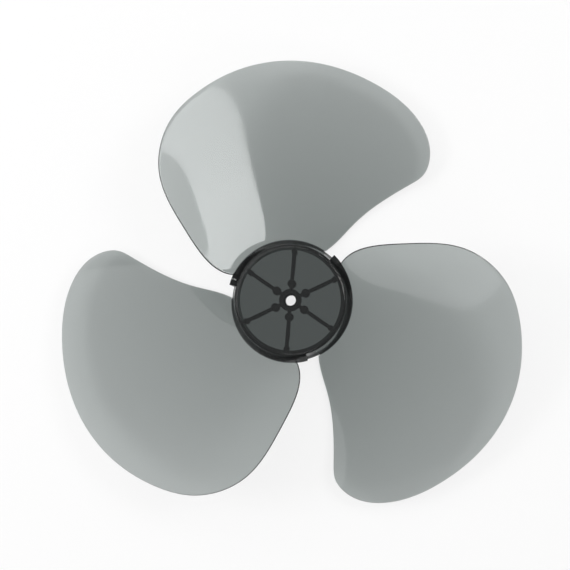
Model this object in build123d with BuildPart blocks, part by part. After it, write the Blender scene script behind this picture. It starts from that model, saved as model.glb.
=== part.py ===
"""Axial fan impeller: a hub cup with a shaft boss and six ribs, and three swept, cambered blades."""

import os
from math import atan2, cos, degrees, hypot, radians, sin

from build123d import *

# Main sizes. The shaft axis is +Z and the hub's closed face is in front, at the top. The origin is on the
# axis where the bore meets the bottom of the drive pin's slot, which is where the shaft locates the impeller.
tip_radius = 180.0
hub_height = 44.0
hub_radius = 45.8
hub_front_radius = 40.6
shaft_bore = 8.0
blade_count = 3
rib_count = 6

# Hub walls. In front of a blade the wall leans in towards the closed face, and behind it towards the rim.
hub_wall = 2.4
hub_face = 3.0
hub_shoulder = 2.5
back_draft = 0.4
inner_corner = 1.6
rim_break = 0.4

# Shaft boss, with the mouth of its bore and the cross slot that the shaft's drive pin seats in.
boss_wall = 2.6
boss_length = 25.0
boss_draft = 0.6
boss_foot = 1.0
bore_mouth = 0.6
pin_slot_width = 3.4
pin_slot_depth = 4.5

# Ribs between the boss and the wall, and the round pads that the ejector pins push on.
rib_thickness = 1.5
rib_draft = 0.25
rib_foot = 0.7
rib_depth = 17.0
rib_phase = 25.3
pad_proud = 0.4
inner_pad = 6.2
inner_pad_place = 12.2
outer_pad = 4.2
outer_pad_gap = 2.6

# Blades. Sweep is the angle in degrees, turned clockwise from the blade's trailing corner on the hub.
blade_phase = 36.4
root_sweep = 100.3
step_lead = 9.4
root_front_gap = 3.2
root_rear_gap = 2.6
blade_lift = 48.0
tip_twist = 36.0
blade_camber = 85.0
root_thickness = 2.4
tip_thickness = 1.5

# Sizes that follow from those above.
span = tip_radius - hub_radius
rim_radius = hub_radius - back_draft
bore_radius = shaft_bore / 2
boss_radius = bore_radius + boss_wall
boss_root = boss_radius + boss_draft
boss_end = -pin_slot_depth
hub_front = boss_end + boss_length
hub_rear = hub_front - hub_height
face_inside = hub_front - hub_face
face_middle = hub_front - hub_face / 2
rib_end = face_inside - rib_depth
cavity_front_radius = hub_front_radius - hub_wall
cavity_rear_radius = rim_radius - hub_wall
shoulder_lean = (rim_radius - hub_front_radius) * hub_shoulder / hub_height
root_drop = hub_height - root_front_gap - root_rear_gap


def blade_height(radius, sweep):
    """Height of the blade's middle surface: it falls with the sweep, twists, and sags more towards the tip."""
    out = (radius - hub_radius) / span
    along = sweep / root_sweep
    fall = (root_drop + tip_twist * out) * along
    sag = blade_camber * out * out * along * (1 - along)
    return hub_front - root_front_gap + blade_lift * out - fall - sag


def half_thickness(radius):
    """Half of the blade's thickness, which tapers evenly from the root to the tip."""
    out = (radius - hub_radius) / span
    return (root_thickness + (tip_thickness - root_thickness) * out) / 2


def cavity_radius(height):
    """Inner radius of the hub's wall at this height: it narrows evenly from the rim to the closed face."""
    up = (height - hub_rear) / (face_inside - hub_rear)
    return cavity_rear_radius + (cavity_front_radius - cavity_rear_radius) * up


def mid_wall(height):
    """Radius of the middle of the hub's wall at this height, where the roots of blades and ribs end."""
    return cavity_radius(height) + hub_wall / 2


def radial_plane(turn):
    """The upright plane through the shaft axis at this angle, with its local X pointing outwards."""
    angle = radians(turn)
    return Plane(origin=(0, 0, 0), x_dir=(cos(angle), sin(angle), 0), z_dir=(sin(angle), -cos(angle), 0))


def plan_point(radius, sweep):
    """The point of the plan at this radius and sweep."""
    angle = radians(blade_phase - sweep)
    return (radius * cos(angle), radius * sin(angle))


def outline_point(share, sweep):
    """The plan point at this share of the way from the hub's wall to the tip circle."""
    return plan_point(hub_radius + share * span, sweep)


def blank_point(out, across, side):
    """The point of the blade's front (side 1) or back (side -1) this far out and across, from its middle line."""
    radius = hypot(out, across)
    sweep = root_sweep / 2 - degrees(atan2(across, out))
    return (out, blade_height(radius, sweep) + side * half_thickness(radius))


# The blank of a blade reaches past its plan on every side. Its sections stand side by side across the blade's
# middle line, and each follows the surface through stations that lie closer together near the hub.
blank_inner = hub_radius - 4 * hub_wall
plan_inner = blank_inner + hub_wall / 2
root_turn = 7.0
blank_start = 0.45 * hub_radius
blank_end = tip_radius + 2 * hub_wall
blank_lead = -0.84 * tip_radius
blank_trail = 0.48 * tip_radius
section_count = 11
station_count = 9
station_crowding = 1.5
shares = [(step / (station_count - 1)) ** station_crowding for step in range(station_count)]
stations = [blank_start + (blank_end - blank_start) * share for share in shares]
first_section = radial_plane(blade_phase - root_sweep / 2)

# One blade: a thin twisted sheet lofted through upright sections, then trimmed to its plan.
with BuildPart() as blade:
    for number in range(section_count):
        across = blank_lead + (blank_trail - blank_lead) * number / (section_count - 1)
        with BuildSketch(first_section.offset(-across)):
            with BuildLine():
                front = [blank_point(out, across, 1) for out in stations]
                back = [blank_point(out, across, -1) for out in stations]
                add(Edge.make_spline(front, parameters=shares))
                add(Edge.make_spline(back, parameters=shares))
                Line(front[0], back[0])
                Line(front[-1], back[-1])
            make_face()
    loft()
    # The plan has a bulging trailing edge, a round tip, a pointed nose and a hollow leading edge, and it turns
    # back inside the hub.
    with BuildSketch(Plane.XY.offset(hub_rear - hub_height)):
        with BuildLine():
            Spline(
                plan_point(hub_radius, 0),
                outline_point(0.338, 10.0),
                outline_point(0.651, 21.0),
                outline_point(0.833, 32.7),
                outline_point(0.909, 42.2),
                outline_point(0.977, 55.3),
                outline_point(1.0, 69.0),
                outline_point(0.965, 86.8),
                outline_point(0.897, 101.3),
                outline_point(0.798, 109.4),
                outline_point(0.677, 112.7),
                outline_point(0.604, 112.0),
                outline_point(0.228, 105.4),
                plan_point(hub_radius, root_sweep),
                plan_point(plan_inner, root_sweep - root_turn),
                plan_point(plan_inner, root_turn),
                periodic=True,
            )
        make_face()
    extrude(amount=4 * hub_height, mode=Mode.INTERSECT)
    # The root ends in the middle of the hub's wall.
    with BuildSketch(Plane.XZ):
        with BuildLine():
            Polyline(
                (0, hub_rear),
                (mid_wall(hub_rear), hub_rear),
                (mid_wall(hub_front), hub_front),
                (0, hub_front),
                close=True,
            )
        make_face()
    revolve(axis=Axis.Z, mode=Mode.SUBTRACT)

# The wall behind one blade, from the step ahead of its trailing corner to its leading corner.
ledge_height = blade_height(hub_radius, 0) + half_thickness(hub_radius)
ledge_inner = blade_height(hub_front_radius, 0) + half_thickness(hub_front_radius)
cut_count = 7
with BuildPart() as skirt:
    with BuildSketch(radial_plane(blade_phase + step_lead)):
        with BuildLine():
            Polyline(
                (mid_wall(hub_rear), hub_rear),
                (rim_radius - rim_break, hub_rear),
                (rim_radius, hub_rear + rim_break),
                (hub_radius, ledge_height),
                (hub_front_radius, ledge_inner),
                (mid_wall(ledge_inner), ledge_inner),
                close=True,
            )
        make_face()
    revolve(axis=Axis.Z, revolution_arc=-(step_lead + root_sweep))
    # What stands in front of the blade's middle surface comes away.
    cut_outer = hub_radius + hub_wall
    for number in range(cut_count):
        sweep = (root_sweep + step_lead) * number / (cut_count - 1)
        with BuildSketch(radial_plane(blade_phase - sweep)):
            with BuildLine():
                Polyline(
                    (blank_inner, blade_height(blank_inner, sweep)),
                    (blank_inner, 2 * hub_height),
                    (cut_outer, 2 * hub_height),
                    (cut_outer, blade_height(cut_outer, sweep)),
                    close=True,
                )
            make_face()
    loft(mode=Mode.SUBTRACT)

# One rib: a tapered section with sloping feet, run out from the boss into the wall, and its two pads.
rib_angle = radians(rib_phase)
rib_out = (cos(rib_angle), sin(rib_angle), 0)
rib_across = (-sin(rib_angle), cos(rib_angle), 0)
rib_root_half = rib_thickness / 2 + rib_draft
foot_half = rib_root_half + 2 * rib_foot
pads = ((inner_pad_place, inner_pad), (cavity_front_radius - outer_pad_gap, outer_pad))
with BuildPart() as rib:
    with BuildSketch(Plane(origin=(0, 0, 0), x_dir=rib_across, z_dir=rib_out)) as section:
        with BuildLine():
            half = Polyline(
                (0, rib_end),
                (rib_thickness / 2, rib_end),
                (rib_root_half, face_inside),
                (foot_half, face_inside),
                (foot_half, face_middle),
                (0, face_middle),
            )
            mirror(half, about=Plane.YZ)
        make_face()
        feet = section.vertices().filter_by(lambda v: abs(abs(v.X) - rib_root_half) < rib_foot / 4)
        chamfer(feet, rib_foot)
    extrude(amount=hub_radius)
    with BuildSketch(Plane.XY.offset(rib_end - pad_proud)):
        for place, size in pads:
            with Locations((place * cos(rib_angle), place * sin(rib_angle))):
                Circle(size / 2)
    extrude(amount=face_middle - rib_end + pad_proud)
    with BuildSketch(Plane.XZ):
        with BuildLine():
            Polyline(
                (0, hub_rear),
                (mid_wall(hub_rear), hub_rear),
                (mid_wall(face_middle), face_middle),
                (0, face_middle),
                close=True,
            )
        make_face()
    revolve(axis=Axis.Z, mode=Mode.INTERSECT)

with BuildPart() as impeller:
    # The hub is a cup of even wall, with a shoulder broken by two flats outside and a filled corner inside.
    with BuildSketch(Plane.XZ) as cup:
        with BuildLine():
            Polyline(
                (cavity_rear_radius + rim_break, hub_rear),
                (rim_radius - rim_break, hub_rear),
                (rim_radius, hub_rear + rim_break),
                (hub_front_radius + shoulder_lean, hub_front - hub_shoulder),
                (hub_front_radius - 0.3 * hub_shoulder, hub_front - 0.25 * hub_shoulder),
                (hub_front_radius - hub_shoulder, hub_front),
                (0, hub_front),
                (0, face_inside),
                (cavity_front_radius, face_inside),
                (cavity_radius(hub_rear + rim_break), hub_rear + rim_break),
                close=True,
            )
        make_face()
        chamfer(cup.vertices().sort_by_distance((cavity_front_radius, face_inside))[0], inner_corner)
    revolve(axis=Axis.Z)
    # The shaft boss stands in the cup on a broad foot, with the ribs around it.
    with BuildSketch(Plane.XZ) as boss:
        with BuildLine():
            Polyline(
                (0, boss_end),
                (boss_radius, boss_end),
                (boss_root, face_inside),
                (boss_root + 2 * boss_foot, face_inside),
                (boss_root + 2 * boss_foot, face_middle),
                (0, face_middle),
                close=True,
            )
        make_face()
        chamfer(boss.vertices().sort_by_distance((boss_root, face_inside))[0], boss_foot)
    revolve(axis=Axis.Z)
    with PolarLocations(0, rib_count):
        add(rib.part)
    # The bore goes right through, with a flared mouth at the front and the pin's slot across its rear end.
    with BuildSketch(Plane.XZ):
        with BuildLine():
            Polyline(
                (0, boss_end),
                (bore_radius, boss_end),
                (bore_radius, hub_front - bore_mouth),
                (bore_radius + bore_mouth, hub_front),
                (0, hub_front),
                close=True,
            )
        make_face()
    revolve(axis=Axis.Z, mode=Mode.SUBTRACT)
    with BuildSketch(Plane.XY.offset(boss_end).rotated((0, 0, rib_phase + 180 / rib_count))):
        Rectangle(2 * boss_root, pin_slot_width)
    extrude(amount=pin_slot_depth, mode=Mode.SUBTRACT)
    # The blades' roots run into the wall first, and the walls behind them then close up to the blades.
    with PolarLocations(0, blade_count):
        add(blade.part)
        add(skirt.part)

impeller.part.label = "impeller"
os.makedirs("parts", exist_ok=True)
export_step(impeller.part, "parts/impeller.step")
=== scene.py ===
# %% [markdown]
# # A moulded fan impeller in smoke-grey plastic
#
# The real thing is one injection moulding: a cup-shaped hub, closed in front, with six ribs and a shaft
# boss inside it, and three wide blades that are swept back, twisted and hollowed. The plastic is clear
# but dyed a smoky grey, so thin blades look light, and a wall seen end-on looks nearly black.
#
# The packed CAD model is loaded first. Everything below is built in its frame: metres, the shaft along
# +Z, and the closed front face of the hub at the top.

# %% Load the fixed frame
import math

import bmesh
import bpy
import numpy as np
from mathutils import Matrix


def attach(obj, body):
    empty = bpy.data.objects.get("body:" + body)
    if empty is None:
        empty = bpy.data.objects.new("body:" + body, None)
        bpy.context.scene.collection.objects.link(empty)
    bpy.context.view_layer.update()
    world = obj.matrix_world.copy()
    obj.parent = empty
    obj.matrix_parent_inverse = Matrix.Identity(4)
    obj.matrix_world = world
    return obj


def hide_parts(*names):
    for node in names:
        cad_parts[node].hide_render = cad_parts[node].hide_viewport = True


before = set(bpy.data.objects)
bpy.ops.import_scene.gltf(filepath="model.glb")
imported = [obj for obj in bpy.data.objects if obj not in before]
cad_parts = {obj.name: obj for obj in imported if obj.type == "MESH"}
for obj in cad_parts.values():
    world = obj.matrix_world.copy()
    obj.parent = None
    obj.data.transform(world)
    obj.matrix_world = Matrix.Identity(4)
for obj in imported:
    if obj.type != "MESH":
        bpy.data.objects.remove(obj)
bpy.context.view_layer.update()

# %% [markdown]
# ## The sizes of the moulding
#
# Every surface is worked out from one short list of sizes in millimetres. They are the same ones that the
# solid was made from, so the dressed part has the solid's form.

# %% Sizes in millimetres
tip_radius, hub_radius, hub_front_radius = 180.0, 45.8, 40.6
hub_front, hub_rear, boss_end = 20.5, -23.5, -4.5
hub_wall, hub_face, hub_shoulder = 2.4, 3.0, 2.5
rim_radius, rim_break = hub_radius - 0.4, 0.4
bore_radius, bore_mouth, boss_wall, boss_draft = 4.0, 0.6, 2.6, 0.6
rib_depth = 17.0
face_inside = hub_front - hub_face
rib_end = face_inside - rib_depth
span = tip_radius - hub_radius
cavity_front, cavity_rear = hub_front_radius - hub_wall, rim_radius - hub_wall
print("hub depth and blade length in mm:", hub_front - hub_rear, round(span, 1))

# %% [markdown]
# ## The height of a blade
#
# A blade is a thin sheet, so one formula for the height of its middle says most about its form. It could
# be read off a few sections and blended, but a formula is smooth everywhere and is the same for every
# piece that meets the blade, such as the walls behind it. A view along the shaft hardly shows heights:
# fits with quite different ones matched a photograph's outlines about as well, and this is one of them.

# %% Height and thickness of a blade
blade_phase, root_sweep, step_lead = 36.4, 100.3, 9.4
root_drop, tip_rise, sag = 3.2, 48.0, 85.0
root_fall, extra_tip_fall = 38.2, 36.0
root_half, tip_half = 1.2, 0.75


def blade_height(radius, sweep):
    """Height of a blade's middle surface: it starts a drop below the hub's front, rises with the radius,
    falls evenly with the sweep and more so towards the tip, and sags in between like a hammock."""
    out = (radius - hub_radius) / span
    along = sweep / root_sweep
    fall = (root_fall + extra_tip_fall * out) * along
    return hub_front - root_drop + tip_rise * out - fall - sag * out**2 * along * (1 - along)


def half_thickness(radius):
    """Half of the blade's thickness: it tapers evenly from the hub to the tip."""
    return root_half - (root_half - tip_half) * (radius - hub_radius) / span


def mid_wall(height):
    """Radius of the middle of the hub's wall, on a straight line from the rim to the closed face."""
    share = (height - hub_rear) / (face_inside - hub_rear)
    return cavity_rear + (cavity_front - cavity_rear) * share + hub_wall / 2


print("blade heights at the tip:", np.round(blade_height(tip_radius, np.array([0, 50, 100])), 1))

# %% [markdown]
# ## From a grid of points to a mesh
#
# A surface is a rectangular grid of points, worked out as whole arrays. Neighbouring points make quads. A
# grid can close on itself along its rows, like a tube, and its two open ends are then shut with one flat
# face each.

# %% Grids into meshes


def grid_faces(rows, columns, close_rows, close_columns):
    """Corner numbers of the quads of a grid that is stored row by row. Where a direction is closed, the
    last line joins the first one again."""
    row = np.arange(rows if close_rows else rows - 1)[:, None]
    column = np.arange(columns if close_columns else columns - 1)[None, :]
    next_row, next_column = (row + 1) % rows, (column + 1) % columns
    corners = [row * columns + column, row * columns + next_column,
               next_row * columns + next_column, next_row * columns + column]
    return np.stack([np.broadcast_to(c, (row.size, column.size)).ravel() for c in corners], axis=1)


def make_piece(name, points, close_rows=False, close_columns=False, caps=()):
    """A mesh object from a grid of points in millimetres, with extra flat faces as lists of corners."""
    rows, columns = points.shape[:2]
    faces = grid_faces(rows, columns, close_rows, close_columns).tolist() + [list(cap) for cap in caps]
    mesh = bpy.data.meshes.new(name)
    mesh.from_pydata((points.reshape(-1, 3) / 1000).tolist(), [], faces)
    shape = bmesh.new()
    shape.from_mesh(mesh)
    bmesh.ops.recalc_face_normals(shape, faces=shape.faces)
    shape.to_mesh(mesh)
    shape.free()
    piece = bpy.data.objects.new(name, mesh)
    bpy.context.scene.collection.objects.link(piece)
    return piece


def cylindrical(radius, turn, height):
    """Points from their radius, their turn in degrees and their height."""
    radius, turn, height = np.broadcast_arrays(radius, np.radians(turn), height)
    return np.stack([radius * np.cos(turn), radius * np.sin(turn), height], axis=-1)


def arc(centre, size, start, end, steps):
    """Points of a circular arc in a section, from one angle to the other in degrees."""
    angle = np.radians(np.linspace(start, end, steps))
    return np.stack([centre[0] + size * np.cos(angle), centre[1] + size * np.sin(angle)], axis=1)


print("quads of a ring of 3 rows and 4 columns:", len(grid_faces(3, 4, True, False)))

# %% [markdown]
# ## The plan of a blade
#
# Seen along the shaft, a blade has a bulging trailing edge, a round tip, a pointed nose and a hollow
# leading edge. One smooth closed curve runs through fourteen points of that outline and two inside the
# hub, where it turns back. A cubic spline does this with few numbers: its pieces meet with the same slope
# and the same bend. The twelve points beyond the hub's wall came from a separate least-squares fit of a
# similar curve to the blades' outline in a photograph, and were then rounded.

# %% Plan curve
outline = np.array([
    (0.0, 0.0), (0.338, 10.0), (0.651, 21.0), (0.833, 32.7), (0.909, 42.2), (0.977, 55.3), (1.0, 69.0),
    (0.965, 86.8), (0.897, 101.3), (0.798, 109.4), (0.677, 112.7), (0.604, 112.0), (0.228, 105.4),
    (0.0, root_sweep),
])
inside_radius, root_turn = hub_radius - 3.5 * hub_wall, 7.0
inside_sweep = np.array([root_sweep - root_turn, root_turn])
knots = np.vstack([
    cylindrical(hub_radius + outline[:, 0] * span, blade_phase - outline[:, 1], 0)[:, :2],
    cylindrical(inside_radius, blade_phase - inside_sweep, 0)[:, :2],
])


def closed_spline(knots):
    """Second derivatives at the knots of the closed cubic spline, spaced by the chords between the knots.
    Each row says that the slopes of the two pieces that meet at a knot are the same."""
    chord = np.linalg.norm(np.roll(knots, -1, axis=0) - knots, axis=1)
    before = np.roll(chord, 1)
    count = np.arange(len(knots))
    table = np.zeros((len(knots), len(knots)))
    table[count, count] = 2 * (before + chord)
    table[count, (count + 1) % len(knots)] = chord
    table[count, count - 1] = before
    slope = (np.roll(knots, -1, axis=0) - knots) / chord[:, None]
    return chord, np.linalg.solve(table, 6 * (slope - np.roll(slope, 1, axis=0)))


def along_spline(knots, place):
    """Points of the closed spline where place counts knots: 2.5 is halfway from the third to the fourth.
    Each piece is the straight chord plus a cubic term for the bend at either end."""
    chord, bend = closed_spline(knots)
    first = np.minimum(place.astype(int), len(knots) - 1)
    after = (first + 1) % len(knots)
    share = (place - first)[:, None]
    rest = 1 - share
    square = chord[first][:, None] ** 2 / 6
    return (rest * knots[first] + share * knots[after]
            + square * ((rest**3 - rest) * bend[first] + (share**3 - share) * bend[after]))


def evenly(points, count):
    """The same line with its points spread evenly along its length."""
    step = np.linalg.norm(np.diff(points, axis=0), axis=1)
    length = np.concatenate([[0], np.cumsum(step)])
    wanted = np.linspace(0, length[-1], count)
    return np.stack([np.interp(wanted, length, points[:, axis]) for axis in range(2)], axis=1)


edge_columns, fine_steps = 224, 4000
edge = evenly(along_spline(knots, np.linspace(0, len(outline) - 1, fine_steps)), edge_columns)
print("edge length of a blade in mm:", round(float(np.linalg.norm(np.diff(edge, axis=0), axis=1).sum()), 1))

# %% [markdown]
# ## A blade
#
# The skin of a blade could be two sheets and a strip, but the edge would then show as a crease. Here it
# is one grid that starts at the root, runs out over the front, rolls round the thin edge and comes back
# along the rear. The rows next to the edge lie on a half ellipse, so the edge is round, as a moulded one
# is.

# %% Blades
root_margin = 0.03


def sweep_of(x, y):
    """Sweep of a point of the plan in degrees, from -90 to 270, clockwise from the blade's first edge."""
    return (blade_phase - np.degrees(np.arctan2(y, x)) + 90) % 360 - 90


def edge_inwards(edge):
    """Unit vectors in plan that point from the edge into the blade, at right angles to the edge."""
    along = np.gradient(edge, axis=0)
    along /= np.linalg.norm(along, axis=1)[:, None]
    return np.stack([along[:, 1], -along[:, 0]], axis=1)


def blade_grid(turn, inner_rows=46, rim_rows=7):
    """Rows of points from the root over the front, round the edge and back. Between root and edge a row is
    a share of the way, in radius and in sweep alike. The height is the middle surface plus or minus half of
    the thickness, which closes like a half ellipse at the edge. Last, the grid is turned about the shaft."""
    inwards = edge_inwards(edge)
    columns = np.linspace(0, 1, len(edge))
    thin = half_thickness(np.hypot(*edge.T))[:, None]
    roll = np.radians(np.linspace(90, 0, rim_rows))
    rim = edge[:, None] + inwards[:, None] * (thin * (1 - np.cos(roll)))[..., None]
    start = rim[:, 0]
    start_radius = np.hypot(*start.T)
    start_sweep = sweep_of(start[:, 0], start[:, 1])
    ease = columns**2 * (3 - 2 * columns)
    root_place = root_sweep * (root_margin + (1 - 2 * root_margin) * ease)
    root_radius = mid_wall(blade_height(hub_radius - hub_wall, root_place))
    share = (np.arange(inner_rows) / inner_rows)[None, :]
    radius = root_radius[:, None] + (start_radius - root_radius)[:, None] * share
    sweep = root_place[:, None] + (start_sweep - root_place)[:, None] * share
    inner = cylindrical(radius, blade_phase - sweep, 0)[..., :2]
    plan = np.concatenate([inner, rim], axis=1)
    lift = np.concatenate([np.ones(share.shape[1]), np.sin(roll)])
    radius = np.hypot(plan[..., 0], plan[..., 1])
    sweep = sweep_of(plan[..., 0], plan[..., 1])
    middle, half = blade_height(radius, sweep), half_thickness(radius) * lift
    front = np.dstack([plan, middle + half])
    back = np.dstack([plan, middle - half])[:, -2::-1]
    grid = np.concatenate([front, back], axis=1).transpose(1, 0, 2)
    spin = np.radians(turn)
    cos, sin = np.cos(spin), np.sin(spin)
    return grid @ np.array([[cos, sin, 0], [-sin, cos, 0], [0, 0, 1]])


def end_caps(rows, columns):
    """The two flat faces that shut a tube of closed rows at its first and last column."""
    first = [row * columns for row in range(rows)]
    return [first[::-1], [corner + columns - 1 for corner in first]]


def make_tube(name, grid):
    """A piece from a grid whose rows close on themselves, shut with flat ends."""
    return make_piece(name, grid, close_rows=True, caps=end_caps(*grid.shape[:2]))


blade_count = 3
blades = [make_tube("blade_%d" % (number + 1), blade_grid(360 / blade_count * number))
          for number in range(blade_count)]
print("quads in a blade:", len(blades[0].data.polygons))

# %% [markdown]
# ## The hub and its boss
#
# The cup and the boss are turned shapes: one closed section, swept right round the shaft axis. A cylinder
# with a hole cut in it would do for the outside, but one section also gives the draft, the round shoulder
# and the small breaks at the rim. Extra points sit close to every corner, so that smooth shading stays
# flat on the flats.

# %% Hub cup and boss
boss_radius = bore_radius + boss_wall
boss_root = boss_radius + boss_draft
lean = math.atan2(hub_radius - hub_front_radius, hub_front - hub_rear)
shoulder_inset = hub_shoulder * math.tan((math.pi / 2 - lean) / 2)
shoulder_centre = (hub_front_radius - shoulder_inset, hub_front - hub_shoulder)


def with_supports(section, gap=0.25):
    """The closed section with two more points beside each corner, a small gap along either side. On a short
    side the gap is a third of the side."""
    before, after = np.roll(section, 1, axis=0) - section, np.roll(section, -1, axis=0) - section
    lengths = [np.linalg.norm(side, axis=1)[:, None] for side in (before, after)]
    near = [side / length * np.minimum(gap, length / 3) for side, length in zip((before, after), lengths)]
    return np.stack([section + near[0], section, section + near[1]], axis=1).reshape(-1, 2)


flat_middle, inside_break, boss_break, break_lean = 20.0, 1.6, 1.0, 0.1
cup_section = np.vstack([
    [(bore_radius + bore_mouth, hub_front), (flat_middle, hub_front)],
    arc(shoulder_centre, hub_shoulder, 90, math.degrees(lean), 12),
    [(rim_radius, hub_rear + rim_break), (rim_radius - rim_break, hub_rear),
     (cavity_rear + rim_break, hub_rear), (cavity_rear, hub_rear + rim_break)],
    [(cavity_front + break_lean, face_inside - inside_break), (cavity_front - inside_break, face_inside)],
    [(boss_root + boss_break, face_inside), (boss_root, face_inside - boss_break), (boss_radius, boss_end),
     (bore_radius, boss_end), (bore_radius, hub_front - bore_mouth)],
])
section, turn_step = with_supports(cup_section), 1.5
cup_grid = cylindrical(section[:, :1], np.arange(0, 360, turn_step)[None, :], section[:, 1:])
hub = make_piece("impeller_moulding", cup_grid, close_rows=True, close_columns=True)
print("hub cup quads:", len(hub.data.polygons))

# %% [markdown]
# ## The walls behind the blades
#
# The cup leans inwards towards its closed face. Behind a blade a real mould can't follow that lean,
# because the blade is in the way, so the wall goes straight down from the blade to the rim and ends in a
# step a little beyond the blade's trailing edge. Each of these walls is one curved grid whose top follows
# the blade's height.

# %% Walls behind the blades
ledge = [(radius, blade_height(radius, 0) + half_thickness(radius))
         for radius in (hub_radius, hub_front_radius)]
across_shares = np.array([0.06, 0.5, 1.0])[:, None]


def skirt_grid(turn, columns=111, wall_rows=10):
    """Columns along the sweep, rows round the wall's section: in along the rear rim, up the outer side, and
    in across the top. The top is the ledge's straight line, or the blade's middle surface where that is
    lower."""
    sweep = np.linspace(-step_lead, root_sweep, columns)
    share = np.linspace(0, 1, wall_rows)[:, None]
    top_out = np.minimum(ledge[0][1], blade_height(hub_radius, sweep))
    foot = hub_rear + rim_break
    height = foot + (top_out - foot) * share
    outer = rim_radius + (hub_radius - rim_radius) * (height - foot) / (ledge[0][1] - foot)
    inner_edge = mid_wall(np.minimum(ledge[1][1], blade_height(hub_front_radius, sweep)))[None, :]
    across = outer[-1:] + (inner_edge - outer[-1:]) * across_shares
    slope = (ledge[0][1] - ledge[1][1]) / (ledge[0][0] - ledge[1][0])
    line = ledge[0][1] + slope * (across - ledge[0][0])
    across_height = np.minimum(line, blade_height(across, sweep[None, :]))
    ones = np.ones((1, columns))
    radius = np.vstack([mid_wall(hub_rear) * ones, (rim_radius - rim_break) * ones, outer, across])
    height = np.vstack([hub_rear * ones, hub_rear * ones, height, across_height])
    return cylindrical(radius, blade_phase - sweep[None, :] + turn, height)


skirts = [make_tube("skirt_%d" % (number + 1), skirt_grid(360 / blade_count * number))
          for number in range(blade_count)]
print("quads in a wall:", len(skirts[0].data.polygons))

# %% [markdown]
# ## Ribs and ejector pads
#
# Six thin ribs tie the boss to the wall. A rib narrows a little towards its free edge, so that it leaves
# the mould, and has small feet on the hub's face. Round columns on each rib are where the mould's pins
# push. A rib is its section carried outwards, and a column is three rings on top of each other.

# %% Ribs
rib_count, rib_phase, rib_start = 6, 25.3, 5.2
rib_half, rib_draft, rib_foot = 0.75, 0.25, 0.35
rib_break, rib_bevel, rib_lean = 0.3, 0.15, 0.05
knob_place, knob_size = 12.2, 6.2
pad_place, pad_size = cavity_front - 2.6, 4.2
column_break, column_lead = 0.2, 0.4


def rib_grid(turn):
    """The rib's section carried outwards from the boss to the middle of the hub's wall. The section runs
    down one side, across the free edge and up the other, with a quarter-round foot on each side."""
    root, free, top = rib_half + rib_draft, rib_half, hub_front - hub_face / 2
    foot = arc((root + rib_foot, face_inside - rib_foot), rib_foot, 90, 180, 5)
    side = np.vstack([[(root + rib_foot, top)], foot,
                      [(free + rib_lean, rib_end + rib_break), (free - rib_bevel, rib_end)]])
    section = np.vstack([side, (side * (-1, 1))[::-1]])
    outwards = mid_wall(section[:, 1])[:, None]
    share = np.linspace(0, 1, 12)[None, :]
    reach = rib_start + (outwards - rib_start) * share
    spin = np.radians(turn)
    across = section[:, 0][:, None] * np.ones_like(share)
    x = reach * np.cos(spin) - across * np.sin(spin)
    y = reach * np.sin(spin) + across * np.cos(spin)
    return np.dstack([x, y, section[:, 1][:, None] * np.ones_like(share)])


def column_grid(place, size, turn, low, high):
    """An upright round column: rings of one size from its low end to its high end, with a slightly smaller
    ring at the low end."""
    around = np.radians(np.arange(0, 360, 12))[None, :]
    heights = np.array([low, low + column_break, high])[:, None]
    sizes = np.array([size / 2 - column_break, size / 2, size / 2])[:, None]
    spin = np.radians(turn)
    x = place * np.cos(spin) + sizes * np.cos(around)
    y = place * np.sin(spin) + sizes * np.sin(around)
    return np.dstack([x, y, heights * np.ones_like(around)])


ribs = []
for number in range(rib_count):
    turn = rib_phase + 360 / rib_count * number
    ribs.append(make_tube("rib_%d" % (number + 1), rib_grid(turn)))
    for place, size in ((knob_place, knob_size), (pad_place, pad_size)):
        grid = column_grid(place, size, turn, rib_end - column_lead, hub_front - hub_face / 2)
        count = grid.shape[1]
        rings = [list(range(count)), [2 * count + corner for corner in range(count)][::-1]]
        ribs.append(make_piece("column_%d_%d" % (number + 1, place), grid, close_columns=True, caps=rings))
print("ribs and columns:", len(ribs))

# %% [markdown]
# ## One moulding
#
# Light passes through this plastic, so a wall buried inside another would show. Pieces that only touch
# would do for painted metal. Here all of them are merged into one skin with Boolean unions, and the slot
# for the shaft's cross pin is cut out of the boss.

# %% Merge everything into one skin
slot_half, slot_reach, slot_depth, slot_lead = 1.7, 9.0, 4.5, 2.0


def slot_cutter():
    """A long box across the rear end of the boss: four corners carried along the slot's direction."""
    turn = np.radians(rib_phase + 30)
    low, high = boss_end - slot_lead, boss_end + slot_depth
    corners = np.array([(-slot_half, low), (slot_half, low), (slot_half, high), (-slot_half, high)])
    reach = np.array([-slot_reach, slot_reach])[None, :]
    x = reach * np.cos(turn) - corners[:, :1] * np.sin(turn)
    y = reach * np.sin(turn) + corners[:, :1] * np.cos(turn)
    return np.dstack([x, y, corners[:, 1:] * np.ones_like(reach)])


def merge(base, pieces, operation):
    """Adds or cuts each piece in turn with a Boolean modifier, then keeps the result as the base's mesh."""
    for piece in pieces:
        step = base.modifiers.new(piece.name, "BOOLEAN")
        step.operation, step.solver, step.object = operation, "MANIFOLD", piece
    bpy.context.view_layer.update()
    merged = bpy.data.meshes.new_from_object(base.evaluated_get(bpy.context.evaluated_depsgraph_get()))
    base.modifiers.clear()
    base.data = merged
    for piece in pieces:
        bpy.data.objects.remove(piece)


merge(hub, skirts + ribs + blades, "UNION")
cutter = make_piece("slot", slot_cutter(), close_rows=True, caps=[[0, 2, 4, 6], [7, 5, 3, 1]])
merge(hub, [cutter], "DIFFERENCE")
moulding = hub
moulding.data.name = moulding.name
sharp_angle = math.radians(24)
moulding.data.shade_smooth()
moulding.data.set_sharp_from_angle(angle=sharp_angle)
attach(moulding, "root")
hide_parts("impeller")
print("faces in the moulding:", len(moulding.data.polygons))

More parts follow.
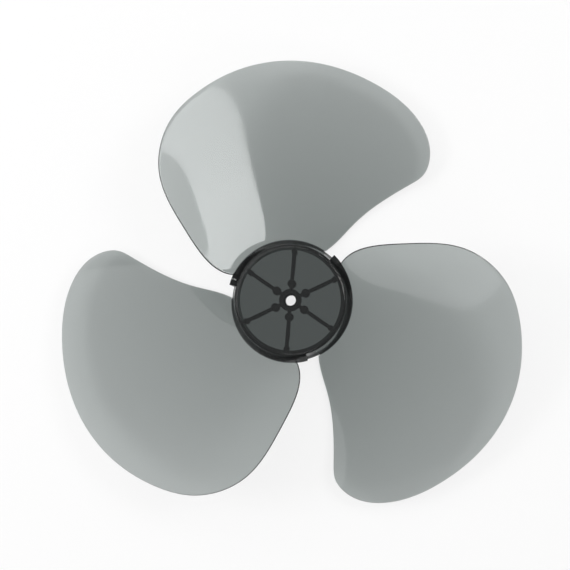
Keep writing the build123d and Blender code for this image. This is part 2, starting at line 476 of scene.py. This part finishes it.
# %% [markdown]
# ## Shader maths as Python expressions
#
# A material is a small network of nodes. The class below wraps one output of a node, so that an
# expression such as `0.02 + noise * 0.03` adds its Math nodes by itself, and the networks further down
# read like formulas.

# %% Sockets with operators


class Value:
    """One output in a node network. Arithmetic on it adds Math nodes."""

    def __init__(self, network, socket):
        self.network, self.socket = network, socket

    def math(self, operation, first, second):
        """The result of a Math node on two values or numbers."""
        return self.network.node("ShaderNodeMath", {"operation": operation}, {0: first, 1: second})

    def __add__(self, other):
        return self.math("ADD", self, other)

    def __mul__(self, other):
        return self.math("MULTIPLY", self, other)

    __radd__, __rmul__ = __add__, __mul__


print("reflected operators:", [name for name in vars(Value) if name.startswith("__r")])

# %% [markdown]
# ## One method for every node
#
# Nodes could be made one by one, with four lines each for the node, its settings, its numbers and its
# links. One method does all of that, so a material is as long as the idea behind it. Colours are mixed by
# a method of their own, because a Math node would turn them grey.

# %% Networks of nodes


class Network:
    """The node network of one material."""

    def __init__(self, name):
        self.material = bpy.data.materials.new(name)
        self.material.use_nodes = True
        self.tree = self.material.node_tree
        self.tree.nodes.clear()

    def node(self, kind, settings=None, inputs=None, output=0):
        """Adds a node, applies its settings, then fills its inputs with numbers or links them."""
        made = self.tree.nodes.new(kind)
        for name, value in (settings or {}).items():
            setattr(made, name, value)
        for name, value in (inputs or {}).items():
            if isinstance(value, Value):
                self.tree.links.new(value.socket, made.inputs[name])
            else:
                made.inputs[name].default_value = value
        return Value(self, made.outputs[output])

    def mix_colour(self, share, first, second):
        """A colour between two others. Sockets 6, 7 and 2 are the ones that carry colours."""
        return self.node("ShaderNodeMix", {"data_type": "RGBA"}, {0: share, 6: first, 7: second}, output=2)

    def finish(self, surface, volume=None):
        """Links the surface, and the volume where there is one, to the material's output."""
        end = self.tree.nodes.new("ShaderNodeOutputMaterial")
        self.tree.links.new(surface.socket, end.inputs["Surface"])
        if volume:
            self.tree.links.new(volume.socket, end.inputs["Volume"])
        return self.material

    def ramp(self, value, start, end, first, last):
        """A value that goes evenly from first to last while another one goes from start to end."""
        limits = {"Value": value, "From Min": start, "From Max": end, "To Min": first, "To Max": last}
        return self.node("ShaderNodeMapRange", {}, limits)


object_output = 3
camera_ray_output, transmission_ray_output = 0, 6
print("outputs used: Object", object_output, "Is Camera Ray", camera_ray_output,
      "Is Transmission Ray", transmission_ray_output)

# %% [markdown]
# ## Smoke-grey plastic
#
# Dyed clear plastic takes its colour from its depth: the further light travels in it, the darker it gets.
# A grey paint would look the same everywhere, so the surface here is glossy and almost clear, and an
# absorbing volume inside does the darkening. A slow noise varies the gloss and the tint a little, as the
# flow of the melt does, and a very fine grain keeps the surface from looking like glass. Within the hub's
# radius the tint is deeper, as painted shade for the shaded inside of the closed cup.

# %% Smoke plastic
smoke = Network("smoke_plastic")
where = smoke.node("ShaderNodeTexCoord", output=object_output)
broad = smoke.node("ShaderNodeTexNoise", {}, {"Vector": where, "Scale": 14.0, "Detail": 2.0})
fine = smoke.node("ShaderNodeTexNoise", {}, {"Vector": where, "Scale": 900.0, "Detail": 2.0})
clear = smoke.mix_colour(broad, (0.97, 0.985, 0.985, 1), (0.99, 1.0, 1.0, 1))
flat = smoke.node("ShaderNodeVectorMath", {"operation": "MULTIPLY"}, {0: where, 1: (1, 1, 0)})
from_axis = smoke.node("ShaderNodeVectorMath", {"operation": "LENGTH"}, {0: flat}, output=1)
hub_skin = hub_radius / 1000
in_hub = smoke.ramp(from_axis, hub_skin - 0.0004, hub_skin + 0.0003, 1.0, 0.0)
# Painted shade: within the hub's radius the colour turns a deeper grey, for the shaded inside of the cup.
tone_and_hub_shade = smoke.mix_colour(in_hub, clear, (0.59, 0.61, 0.61, 1))
grain = smoke.node("ShaderNodeBump", {}, {"Strength": 0.003, "Distance": 0.0005, "Height": fine})
plastic = smoke.node("ShaderNodeBsdfPrincipled", {}, {
    "Base Color": tone_and_hub_shade,
    "Roughness": 0.02 + broad * 0.03,
    "Normal": grain,
    "IOR": 1.49,
    "Transmission Weight": 0.99,
})
print("nodes in the clear plastic:", len(smoke.tree.nodes))

# %% [markdown]
# ## Painted shade in the hub, and the dye
#
# Inside the hub the walls stand on edge, and light reaches the eye from them only after a long way. A few
# layers of clear surface can't show that well in a short render. A share of the hub's skin is also a matt
# dark grey: painted shade, for the shaded inside of the closed cup and the floor's shade at its rim, and
# the share grows down to the rim. The dye itself is a volume that absorbs: its strength times the
# colour's distance from white says how much light is lost in a metre.

# %% Painted hub shade and dye
height = smoke.node("ShaderNodeSeparateXYZ", {}, {"Vector": where}, output=2)
near_rim = smoke.ramp(height, -0.004, 0.008, 0.50, 0.0)
painted_shade_everywhere = 0.2
# Painted shade: a matt dark grey mixed into the hub's skin, with a larger share towards the rim.
painted_shade = smoke.node("ShaderNodeBsdfDiffuse", {}, {"Color": (0.062, 0.067, 0.067, 1)})
painted_shade_share = in_hub * (near_rim + painted_shade_everywhere)
skin = smoke.node("ShaderNodeMixShader", {}, {0: painted_shade_share, 1: plastic, 2: painted_shade})
dye = smoke.node("ShaderNodeVolumeAbsorption", {}, {"Color": (0.43, 0.47, 0.46, 1), "Density": 815.0})
moulding.data.materials.clear()
moulding.data.materials.append(smoke.finish(skin, dye))
print("nodes in the smoke plastic:", len(smoke.tree.nodes))

# %% [markdown]
# ## The floor
#
# The impeller rests on its rim on a plain white floor. More light would burn the floor out and bleach the
# part with it, so the floor's own colour makes it white: to the camera most of it glows with a strength
# of one, and the rest is paper that keeps the soft shadow. A ray that has come through the plastic gets a
# smaller share of the glow, because the paper under a blade lies in the blade's own shade.

# %% Floor
floor_level = hub_rear / 1000
floor_mesh = bpy.data.meshes.new("floor")
side = 3.0
floor_corners = [(-side, -side, floor_level), (side, -side, floor_level), (side, side, floor_level),
                 (-side, side, floor_level)]
floor_mesh.from_pydata(floor_corners, [], [(0, 1, 2, 3)])
floor = bpy.data.objects.new("floor", floor_mesh)
bpy.context.scene.collection.objects.link(floor)
paper = Network("white_paper")
paper_where = paper.node("ShaderNodeTexCoord", output=object_output)
paper_noise = paper.node("ShaderNodeTexNoise", {}, {"Vector": paper_where, "Scale": 60.0})
paper_tone = paper.mix_colour(paper_noise, (0.93, 0.93, 0.93, 1), (0.95, 0.95, 0.95, 1))
paper_shader = paper.node("ShaderNodeBsdfPrincipled", {}, {"Base Color": paper_tone, "Roughness": 0.9})
white = paper.node("ShaderNodeEmission", {}, {"Color": (1, 1, 1, 1), "Strength": 1.0})
seen = paper.node("ShaderNodeLightPath", output=camera_ray_output)
seen_through = paper.node("ShaderNodeLightPath", output=transmission_ray_output)
glow_seen, glow_through = 0.8, 0.6
share = seen * glow_seen + seen_through * glow_through
paper_surface = paper.node("ShaderNodeMixShader", {}, {0: share, 1: paper_shader, 2: white})
floor_mesh.materials.append(paper.finish(paper_surface))
print("floor level in mm:", round(1000 * floor_level, 1))

# %% [markdown]
# ## The fill lamps
#
# A glossy blade shows the lamps as bright patches with clear edges. A square lamp gives a patch with
# straight sides and corners, and round lamps that hang level give the long curved patches that such
# blades show. Even light from all round fills the rest, three weak lamps lighten one blade each, and a
# small bright one at the side, which no blade mirrors, sends light in under the blades. The places and
# radii of low_fill and left_fill came from a separate fit of circles to patch edges in a photograph.

# %% Fill lamps
world = bpy.data.worlds.new("studio")
bpy.context.scene.world = world
world.use_nodes = True
background = world.node_tree.nodes["Background"]
background.inputs["Color"].default_value = (1, 1, 1, 1)
background.inputs["Strength"].default_value = 0.24
lamp_level = 1.1


def round_lamp(name, x, y, radius, brightness):
    """A round lamp that hangs level and shines down. Its power is brightness times area times pi."""
    lamp = bpy.data.lights.new(name, "AREA")
    lamp.shape, lamp.size = "DISK", 2 * radius
    lamp.energy = brightness * math.pi * radius**2 * math.pi
    thing = bpy.data.objects.new(name, lamp)
    bpy.context.scene.collection.objects.link(thing)
    thing.location = (x, y, lamp_level)
    print(name, "power in W:", round(lamp.energy, 1))


print("world strength:", background.inputs["Strength"].default_value)
round_lamp("low_fill", 0.120, -1.156, 0.476, 1.25)
round_lamp("top_fill", -0.760, 0.720, 0.920, 0.9)
round_lamp("left_fill", -1.638, 0.936, 1.186, 1.45)
round_lamp("side", -1.500, 0.100, 0.400, 11.0)

# %% [markdown]
# ## The key lamp
#
# The strongest patch, on the upper blade, fades towards the tip, and beside it is a dimmer one. A plain
# lamp is equally bright all over its face, so the key is a glowing disc whose brightness grows along one
# direction. A smaller, dimmer disc hangs just under it and hides a part of it, as the reflector in the
# middle of a studio lamp does. The key's middle and radii came from a separate fit of an ellipse to the
# patch's edges in a photograph, and the reflector's middle from such a fit of a circle.

# %% Key lamp and its reflector
cut_right, cut_far = 1.36, 0.86
fade_direction = (0.79, -0.61, 0.0)
fade_from, fade_to, fade_share = -0.10, 0.40, 0.58


def glowing_disc(name, middle, radii, level, strength):
    """A level disc that glows. Each corner is the middle plus the radii times the cosine and sine of its
    turn, and a corner beyond the two cuts is moved back to them, because no blade mirrors that part."""
    turn = np.radians(np.arange(0, 360, 5))
    x = np.minimum(middle[0] + radii[0] * np.cos(turn), cut_right)
    y = np.minimum(middle[1] + radii[1] * np.sin(turn), cut_far)
    corners = np.stack([x, y, np.full(turn.shape, level)], axis=1)
    mesh = bpy.data.meshes.new(name)
    mesh.from_pydata(corners.tolist(), [], [list(range(len(turn)))])
    disc = bpy.data.objects.new(name, mesh)
    bpy.context.scene.collection.objects.link(disc)
    glow = Network(name + "_glow")
    spot = glow.node("ShaderNodeTexCoord", output=object_output)
    along = glow.node("ShaderNodeVectorMath", {"operation": "DOT_PRODUCT"}, {0: spot, 1: fade_direction},
                      output=1)
    share = glow.ramp(along, fade_from, fade_to, 0.0, 1.0)
    colour = glow.mix_colour(share, (fade_share, fade_share, fade_share, 1), (1.0, 1.0, 1.0, 1))
    light = glow.node("ShaderNodeEmission", {}, {"Color": colour, "Strength": strength})
    mesh.materials.append(glow.finish(light))
    print(name, "radii", radii, "strength", strength)


glowing_disc("key", (1.134, 1.179), (0.844, 1.133), lamp_level, 6.9)
reflector_radius, reflector_level = 0.280, 1.05
glowing_disc("reflector", (0.761, 0.698), (reflector_radius, reflector_radius), reflector_level, 2.3)

# %% [markdown]
# ## The camera
#
# The camera looks almost straight down the shaft from less than a metre, and leans about a degree and a
# half to the right and to the front. Aiming it with a rotation in angles is easy to get wrong, so its
# three axes are worked out as vectors and put into its matrix. The scale says how many pixels one
# millimetre takes at the target, so that the blade tips in a photograph lie 180 mm from the axis, and the
# lens follows from it and from the distance. The leans came from a separate fit to the three outlines in
# that photograph, with the distance held near this value. Two thirds of it fitted them about as well.

# %% Camera
image_side = 570
view_scale = 1.3536
view_distance = 0.880
lean_x, lean_y = math.radians(1.62), math.radians(1.42)
target = np.array([0.0, 0.0, 0.0043])
backwards = np.array([math.sin(lean_x), -math.sin(lean_y), 1.0])
backwards /= np.linalg.norm(backwards)
lens = bpy.data.cameras.new("camera")
camera = bpy.data.objects.new("camera", lens)
bpy.context.scene.collection.objects.link(camera)
bpy.context.scene.camera = camera
right = np.cross((0.0, 1.0, 0.0), backwards)
right /= np.linalg.norm(right)
up = np.cross(backwards, right)
place = target + view_distance * backwards
axes_and_place = [[right[i], up[i], backwards[i], place[i]] for i in range(3)]
camera.matrix_world = Matrix(axes_and_place + [[0, 0, 0, 1]])
lens.sensor_width = 36.0
lens.lens = lens.sensor_width * view_scale * 1000 * view_distance / image_side
lens.shift_x, lens.shift_y = -5.9 / image_side, 15.65 / image_side
lens.clip_start, lens.clip_end = 0.01, 20
print("lens in mm:", round(lens.lens, 1))

# %% [markdown]
# ## Plain colours
#
# The standard view shows a colour as it is written, where a film look would dull the white floor.

bpy.context.scene.view_settings.view_transform = "Standard"
